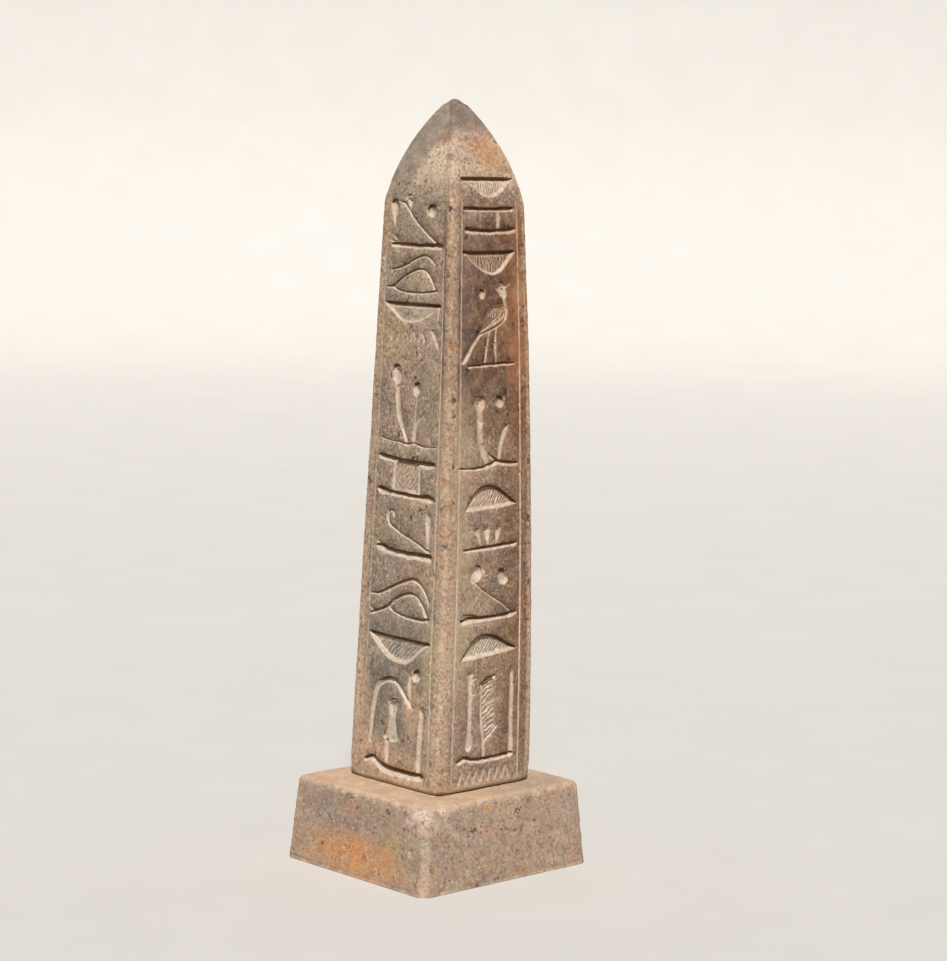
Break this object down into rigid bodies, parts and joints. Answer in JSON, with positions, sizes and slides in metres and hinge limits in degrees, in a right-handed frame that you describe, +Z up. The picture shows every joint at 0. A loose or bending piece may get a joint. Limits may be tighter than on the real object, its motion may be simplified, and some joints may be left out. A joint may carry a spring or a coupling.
{
  "type": "carved stone obelisk statuette",
  "caption": "Tapering four-sided stone shaft with a rounded pyramidion, bedded on a battered square base block; stands freely on a shelf or table.",
  "frame": {"origin": "middle of the base block's underside", "axes": "+Z up towards the tip; -Y out of the front face, +X out of the right face"},
  "size_m": [0.083, 0.088, 0.3],
  "materials": {
    "shaft_stone": "honed, mottled olive-grey and brown",
    "base_stone": "honed, mottled pinkish beige"
  },
  "bodies": {
    "root": {"shaft": "shaft_stone", "base_block": "base_stone"}
  },
  "joints": []
}
